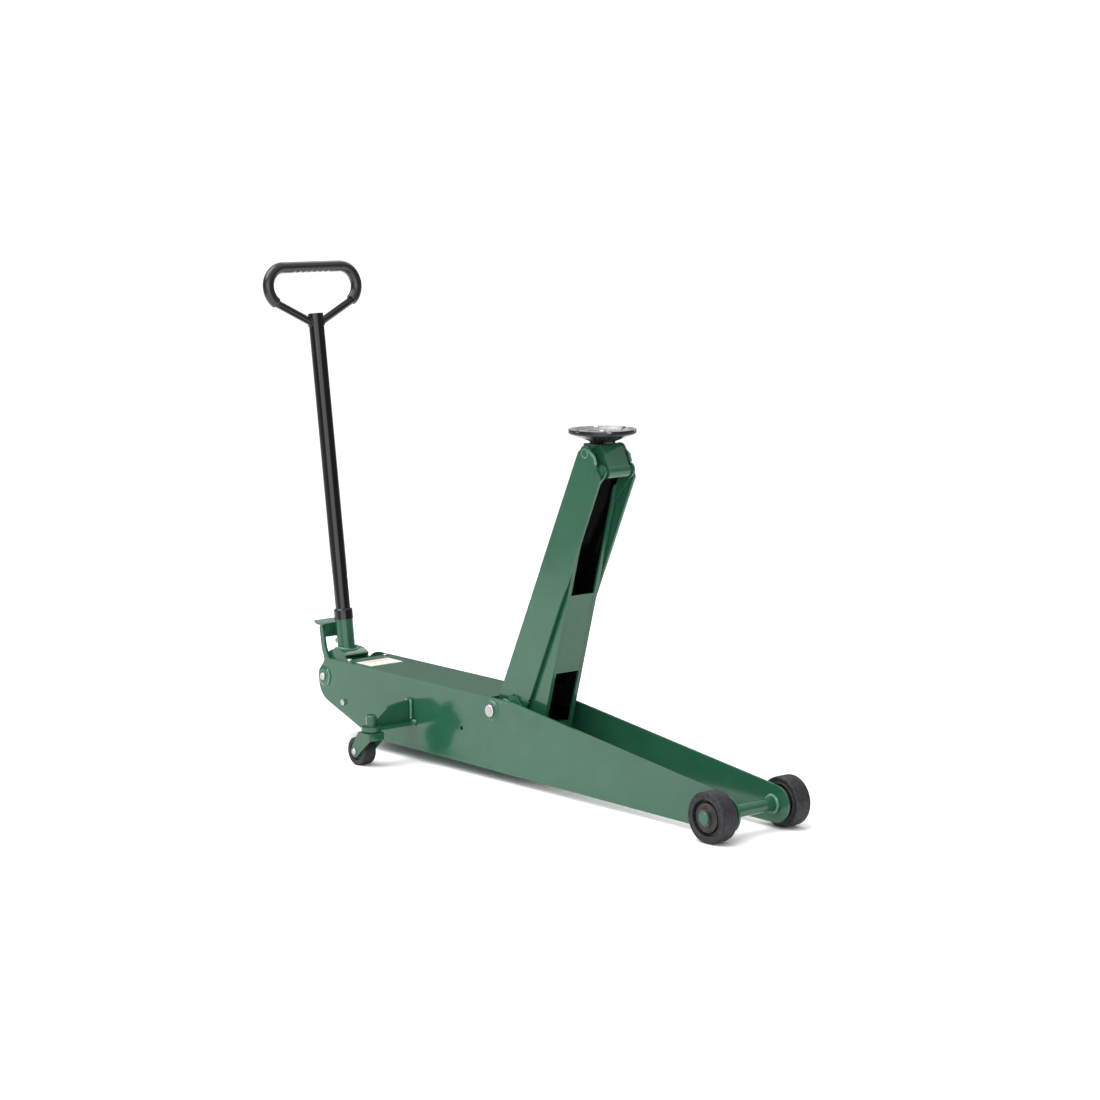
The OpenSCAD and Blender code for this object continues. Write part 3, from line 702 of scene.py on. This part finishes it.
def saddle_fittings():
    """The saddle's stem, the two raised rings in its dish, and the screw in its middle."""
    stem = fillet([(0.8, -7), (12, -7), (12, 1.4), (17, 1.6), (17, 6), (0.8, 6)], [0, 0.8, 1, 0.5, 0, 0], 3)
    lathe("saddle_stem", SEAT, stem, GROUND, "saddle", steps=48, axis="Z")
    for i, r in enumerate((22, 38)):
        ring = fillet([(r - 2.2, 21), (r + 2.2, 21), (r + 1.6, 23.2), (r - 1.6, 23.2)], [0, 0, 0.8, 0.8], 3)
        lathe("saddle_ring_%d" % i, SEAT, ring, DISH, "saddle", steps=72, axis="Z")
    cap = fillet([(3.2, 20.5), (8.6, 20.5), (8.6, 25.6), (7.4, 26.6), (3.2, 26.6)], [0, 0, 0.8, 0.8, 0.4], 3)
    lathe("saddle_screw", SEAT, cap, GROUND, "saddle", steps=36, axis="Z")


# ---- handle ----
def grip_points():
    """Centre line of the grip's bar and its two bends."""
    pts = []
    for side in (-1, 1):
        bend = []
        for k in range(33):
            a = math.radians(90 - GRIP_ARC * k / 32)
            y = side * (GRIP_HALF + GRIP_BEND * math.cos(a))
            bend.append(on_handle(0, y, GRIP_UP + GRIP_BEND * math.sin(a)))
        pts += list(reversed(bend)) if side < 0 else bend
    return resample(pts, 0.0018)


def grip():
    """Moulded sleeve, with finger ridges under its straight bar and a lip at each end."""
    path = grip_points()
    n = len(path)
    around = 28
    verts = []
    for i, (p, (u, v)) in enumerate(zip(path, frames_along(path, closed=False))):
        y = (p - YOKE).y / MM
        calm = max(0, min(1, (RIDGE_END - abs(y)) / 12))
        wave = 0.5 - 0.5 * math.cos(2 * math.pi * (y / RIDGE_GAP + 0.5))
        end = min(i, n - 1 - i)
        lip = -0.9 if end == 0 else (0.0 if end > 3 else 0.25)
        for k in range(around):
            a = 2 * math.pi * k / around
            d = u * math.cos(a) + v * math.sin(a)
            under = max(0, d.dot(-HANDLE_UP)) ** 1.5
            verts.append(p + d * (SLEEVE_R + lip - RIDGE_DEPTH * wave * under * calm) * MM)
    faces = ring_faces(n, around, closed=False)
    sleeve = mesh_piece("grip_moulding", verts, faces, SLEEVE, "handle")
    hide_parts("grip_sleeve")


def handle_welds():
    """A bead round each leg of the grip, where it enters the handle tube."""
    for side, s in SIDES:
        pts = []
        for k in range(40):
            a = 2 * math.pi * k / 40
            x, y = 8.9 * math.sin(a), s * (LEG_Y + 0.6 * math.cos(a))
            pts.append(on_handle(x, y, LEG_UP + 9.6 * math.cos(a)))
        weld("grip_weld_" + side, pts, 1.8, "handle", closed=True, material=BLACK)


# ---- small parts, s is -1 on the right and 1 on the left ----
def cover_screws():
    """Two round screw heads at the rear of the top cover."""
    outline = [(0.6, -0.2), (6.2, -0.2), (6.2, 1.0), (4.6, 2.6), (2.2, 3.3), (0.6, 3.4)]
    head = fillet(outline, [0, 0.3, 1, 2, 1, 0], 3)
    x, y, z = COVER_SCREW
    for side, s in SIDES:
        p = at(x, s * y, z)
        lathe("cover_screw_" + side, p, head, ZINC, "chassis", steps=32, axis="Z")


def yoke_welds():
    """Bead round the handle's socket on the hood, and lumps beside the handle pivot bolts."""
    pts = []
    for k in range(72):
        a = 2 * math.pi * k / 72
        x, y = COLLAR_R * math.cos(a), COLLAR_R * math.sin(a)
        pts.append(on_handle(x, y, math.sqrt(HOOD_R ** 2 - x ** 2) + 0.6))
    weld("collar_weld", pts, 2.4, "yoke", closed=True)
    for side, s in SIDES:
        lump = ring_path(YOKE, 20.5, s * (SIDE_OUT + 0.9), start=-55, sweep_deg=110)
        weld("bolt_lump_" + side, lump, 3.0, "chassis")


def pivot_welds(side, s):
    """Built-up weld over the main pivot: on the plate's top edge and round the boss."""
    pts = [at(x, s * (65.4 + 0.5 * math.sin(x * 0.4)), PLATE_TOP - 0.016 * x) for x in range(-30, 44, 2)]
    weld("top_edge_weld_" + side, pts, 3.0, "chassis")
    lump = ring_path(MAIN, 19.0, s * (SIDE_OUT + 0.9), start=35, sweep_deg=120)
    weld("boss_lump_" + side, lump, 2.6, "chassis")


def kingpin_rim(side, s):
    """Turned lip on top of a caster's kingpin tube, and a black disc of painted shade in its bore."""
    p = at(CASTER_X, s * CASTER_Y, KINGPIN_TOP)
    lip = fillet([(7.0, -0.5), (9.6, -0.5), (9.6, 0.9), (7.0, 0.9)], [0, 0, 0.5, 0.4], 2)
    lathe("kingpin_lip_" + side, p, lip, GREEN, "chassis", steps=40, axis="Z")
    # flat black disc painted as the shade inside the bore
    shade_disc = [(0.5, -0.5), (7.3, -0.5), (7.3, 0.3), (0.5, 0.3)]
    lathe("kingpin_shade_" + side, p, shade_disc, BLACK, "chassis", steps=40, axis="Z")


def arm_pt(u, n):
    """A point in millimetres along the arm and to its front, as x and z from the main pivot."""
    a = math.radians(ARM_ANGLE)
    return u * math.cos(a) + n * math.sin(a), u * math.sin(a) - n * math.cos(a)


def arm_shade_panel(side, s):
    """Black sheet of painted shade on an arm plate's inner face, behind the link's front flange."""
    pts = [arm_pt(205, -8.5), arm_pt(590, -13.5), (275.4, 506), arm_pt(355, 63.5), arm_pt(205, 66.5)]

    def place(x, z, d):
        return MAIN + Vector((x, s * (ARM_IN + 0.2 - d), z)) * MM

    prism("arm_shade_panel_" + side, fillet(pts, 3, 3), place, 0.5, BLACK, "arm", edge=0.2)


def link_shade_and_flange(side, s):
    """Black sheet of painted shade inside a link cheek, and the top length of its front flange."""
    def inside(x, z, d):
        return at(x, s * (LINK_IN - d), z)

    # black sheet of painted shade where the cheek's inside lies in deep shadow
    pts = [(122, 160), (247.8, 600), (250, 620), (224.5, 541), (42, 160)]
    prism("link_shade_panel_" + side, pts, inside, 0.4, BLACK, "link", edge=0.15)

    def flange(x, z, d):
        return at(x, s * (LINK_IN + d), z)

    pts = [(246.6, 594), (252.0, 594), (264.0, 636), (258.8, 636)]
    prism("link_flange_" + side, pts, flange, 8.8, GREEN, "link")


def arm_corner(side, s):
    """Lower front corner of an arm plate, cut round so that it clears the link pins when lowered."""
    arc = [math.radians(a) for a in (64, 55, 46, 37, 28)]
    pts = [arm_pt(78, 58), arm_pt(62, 27)]
    pts += [arm_pt(CORNER_R * math.sin(a), CORNER_R * math.cos(a)) for a in arc]
    pts += [arm_pt(30, 66), arm_pt(66, 73)]

    def place(x, z, d):
        return MAIN + Vector((x, s * (ARM_IN + 0.1 + d), z)) * MM

    prism("arm_corner_" + side, pts, place, 5.8, GREEN, "arm")


def pin_guard(side, s):
    """Thin guard plate on the link pins, beside the slot in the arm plate."""
    pts = [(28, -46), (46, -46), (88, 4), (88, 14), (76, 22), (62, 36), (42, 37), (29, 12)]

    def place(x, z, d):
        return MAIN + Vector((x, s * (ARM_OUT + 3 + d), z)) * MM

    prism("pin_guard_" + side, fillet(pts, 3, 3), place, 4, GREEN, "chassis")
    bead = [place(24 + k, 24.5 - 0.012 * k * k, 5.5 + math.sin(k * 0.7)) for k in range(26)]
    weld("guard_weld_" + side, bead, 3.4, "chassis")


def fork_front(side, s):
    """Closed front of a caster fork."""
    def place(y, z, d):
        return at(FORK_FRONT_X - d, s * CASTER_Y + y, z)

    pts = fillet([(-20.1, 58.5), (20.1, 58.5), (20.1, 75), (-20.1, 75)], [4, 4, 0.6, 0.6], 3)
    prism("fork_front_" + side, pts, place, 3.4, GREEN, "caster_" + side, edge=0.5)


def ear_pin(side, s):
    """Flush end of the second pin in an arm plate, with its chamfered ring."""
    p = TOP + Vector((20, s * (ARM_OUT - 0.1), -37)) * MM
    outline = fillet([(0.6, -1), (8.4, -1), (8.4, 0.7), (7.8, 1.0), (0.6, 1.0)], [0, 0, 0.2, 0.3, 0], 2)
    turned = [(r, s * w) for r, w in outline]
    lathe("ear_pin_" + side, p, turned, GREEN, "arm", steps=48)
    groove = [(9.6, s * -0.4), (11.2, s * -0.4), (11.0, s * 0.45), (10.4, s * 0.6), (9.8, s * 0.45)]
    lathe("ear_ring_" + side, p, groove, GREEN, "arm", steps=48)


def top_weld(side, s):
    """Heavy bead from the saddle pin down the plate's front edge."""
    pts = []
    for a, b in (((7, 7.6), (26, -6.6)), ((26, -6.6), (31.5, -24))):
        for k in range(8):
            t = k / 8
            x, z = a[0] + (b[0] - a[0]) * t, a[1] + (b[1] - a[1]) * t
            pts.append(TOP + Vector((x, s * (ARM_OUT - 2.1), z)) * MM)
    weld("edge_weld_" + side, pts, 3.2, "arm")


def outrigger_welds(side, s):
    """Beads that fix an outrigger to its side plate."""
    for i, x in enumerate(GUSSET_X):
        pts = [at(x, s * (SIDE_OUT + 3.9), z) for z in range(89, 137, 2)]
        weld("gusset_weld_%s_%d" % (side, i), pts, 3.5, "chassis")
    run = range(-308, -264, 2)
    y = s * (SIDE_OUT + 1.1)
    weld("flange_weld_" + side, [at(x, y, OUTRIGGER_TOP) for x in run], 3.3, "chassis")
    pts = [at(-266.6 + 1.2 * math.sin(k), s * (69.4 + 0.9 * k), 88.0 - 0.25 * k) for k in range(10)]
    weld("corner_weld_" + side, pts, 4.2, "chassis")
    weld("under_weld_" + side, [at(x, y, OUTRIGGER_LOW) for x in run], 2.3, "chassis")


def seams():
    """Weld beads, small plates and black sheets of painted shade on both sides of the jack."""
    for side, s in SIDES:
        round_weld("boss_weld_main_" + side, MAIN, 20.2, s * (SIDE_OUT + 0.3), 1.7, "chassis")
        round_weld("axle_weld_outer_" + side, AXLE, 19.2, s * (SIDE_OUT + 0.4), 1.8, "chassis")
        round_weld("axle_weld_inner_" + side, AXLE, 15.4, s * (SIDE_IN - 2.9), 4.2, "chassis")
        round_weld("pin_weld_top_" + side, TOP, 8.9, s * (ARM_OUT + 0.4), 1.9, "arm")
        pivot_welds(side, s)
        kingpin_rim(side, s)
        arm_shade_panel(side, s)
        link_shade_and_flange(side, s)
        arm_corner(side, s)
        pin_guard(side, s)
        fork_front(side, s)
        ear_pin(side, s)
        top_weld(side, s)
        outrigger_welds(side, s)


# ---- floor ----
def floor_mesh(reach, rings, around):
    """A flat disc, cut into rings, just under the front wheels."""
    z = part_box("front_tyre_right")[0].z - 0.0002
    verts = [(0, 0, z)]
    for i in range(rings):
        r = reach * (i + 1) / rings
        for k in range(around):
            a = 2 * math.pi * k / around
            verts.append((r * math.cos(a), r * math.sin(a), z))
    faces = [(0, 1 + k, 1 + (k + 1) % around) for k in range(around)]
    for i in range(rings - 1):
        a, b = 1 + i * around, 1 + (i + 1) * around
        faces += [(a + k, b + k, b + (k + 1) % around, a + (k + 1) % around) for k in range(around)]
    mesh = bpy.data.meshes.new("studio_floor")
    mesh.from_pydata(verts, [], faces)
    return mesh


def floor():
    """A round pale floor, wide enough for every view."""
    mesh = floor_mesh(reach=3.0, rings=24, around=72)
    obj = bpy.data.objects.new("studio_floor", mesh)
    bpy.context.scene.collection.objects.link(obj)
    m, tree, co, bsdf = start_material("floor_white")
    tone = ramp(tree, noise(tree, co, 3, 3, 0.5), [(0.3, grey(0.94)), (0.7, grey(0.97))])
    tree.links.new(tone, bsdf.inputs["Base Color"])
    bsdf.inputs["Roughness"].default_value = 0.75
    bsdf.inputs["Specular IOR Level"].default_value = 0.2
    mesh.materials.append(m)


# ---- camera and light ----
EYE = (4332.8, -3647.1, 1268.9)        # the camera, in millimetres on the jack's own axes
TARGET = (98.8, 0, 490.3)              # the point that it looks at
ROLL = -0.33                           # turn of the picture, in degrees
FOCAL = 90.09                          # focal length, in millimetres


def camera():
    """The photo's view, from the front right and above."""
    data = bpy.data.cameras.new("camera")
    cam = bpy.data.objects.new("camera", data)
    bpy.context.scene.collection.objects.link(cam)
    eye = at(*EYE)
    aim = (at(*TARGET) - eye).to_track_quat("-Z", "Y").to_matrix().to_4x4()
    roll = Matrix.Rotation(math.radians(ROLL), 4, "Z")
    cam.matrix_world = Matrix.Translation(eye) @ aim @ roll
    data.sensor_width = 36
    data.lens = FOCAL
    data.clip_start = 0.05
    data.clip_end = 60
    bpy.context.scene.camera = cam


def lamp(name, data, aim):
    """Puts a light in the scene, shining along aim."""
    obj = bpy.data.objects.new(name, data)
    bpy.context.scene.collection.objects.link(obj)
    obj.rotation_mode = "QUATERNION"
    obj.rotation_quaternion = Vector(aim).to_track_quat("-Z", "Y")
    return obj


def area_light(name, place, target, size, power):
    """A soft rectangular lamp."""
    data = bpy.data.lights.new(name, "AREA")
    data.shape = "RECTANGLE"
    data.size, data.size_y = size
    data.energy = power
    lamp(name, data, Vector(target) - Vector(place)).location = place


def sun(name, aim, strength, angle):
    """A distant lamp, as wide as its angle in degrees."""
    data = bpy.data.lights.new(name, "SUN")
    data.energy = strength
    data.angle = math.radians(angle)
    lamp(name, data, aim)


SKY = ((0.00, 0.60), (0.05, 0.50), (0.11, 0.15), (0.20, 0.19), (0.40, 0.32), (0.62, 0.75), (1.00, 1.0))
LOBE_TOWARD = (0.735, -0.668, 0.12)    # the way from the jack to the bright lobe
LOBE_SPAN = (0.80, 0.93)               # where the lobe starts and where it is full
LOBE_LIGHT = (2.1, 2.1, 2.2)


def sky(tree, direction):
    """Soft grey surroundings, darkest just over the horizon, with a bright lobe for highlights."""
    xyz = tree.nodes.new("ShaderNodeSeparateXYZ")
    tree.links.new(direction, xyz.inputs[0])
    height = span(tree, xyz.outputs["Z"], 0.0, 1.0, -0.1, 1.0)
    tone = ramp(tree, height, [(place, grey(level)) for place, level in SKY])
    toward = tree.nodes.new("ShaderNodeVectorMath")
    toward.operation = "DOT_PRODUCT"
    toward.inputs[1].default_value = LOBE_TOWARD
    tree.links.new(direction, toward.inputs[0])
    lobe = span(tree, toward.outputs["Value"], 0.0, 1.0, *LOBE_SPAN)
    return mix(tree, lobe, tone, LOBE_LIGHT)


def studio_world():
    """The sky lights the jack, and the camera sees a plain white backdrop behind it."""
    world = bpy.data.worlds.new("studio")
    bpy.context.scene.world = world
    world.use_nodes = True
    tree = world.node_tree
    coords = tree.nodes.new("ShaderNodeTexCoord")
    soft = tree.nodes["Background"]
    tree.links.new(sky(tree, coords.outputs["Generated"]), soft.inputs["Color"])
    soft.inputs["Strength"].default_value = 1.12
    white = tree.nodes.new("ShaderNodeBackground")
    white.inputs["Color"].default_value = (1.0, 1.0, 1.0, 1)
    white.inputs["Strength"].default_value = 1.1
    path = tree.nodes.new("ShaderNodeLightPath")
    choose = tree.nodes.new("ShaderNodeMixShader")
    tree.links.new(path.outputs["Is Camera Ray"], choose.inputs[0])
    tree.links.new(soft.outputs[0], choose.inputs[1])
    tree.links.new(white.outputs[0], choose.inputs[2])
    tree.links.new(choose.outputs[0], tree.nodes["World Output"].inputs["Surface"])


def light():
    """The sky, a wide soft sun from above, and two weak soft lamps."""
    studio_world()
    middle = (0, 0, 0.4)
    sun("ceiling", aim=(0.25, 0.45, -1), strength=3.1, angle=60)
    area_light("key", place=(0.5, -3.6, 1.9), target=middle, size=(2.4, 1.6), power=14)
    area_light("rim", place=(-2.2, 2.6, 3.4), target=middle, size=(1.6, 1.6), power=16)
    bpy.context.scene.view_settings.view_transform = "Standard"


# ---- build ----
dress_cad()
front_wheels()
saddle()
saddle_fittings()
grip()
handle_welds()
cover_screws()
yoke_welds()
seams()
floor()
camera()
light()
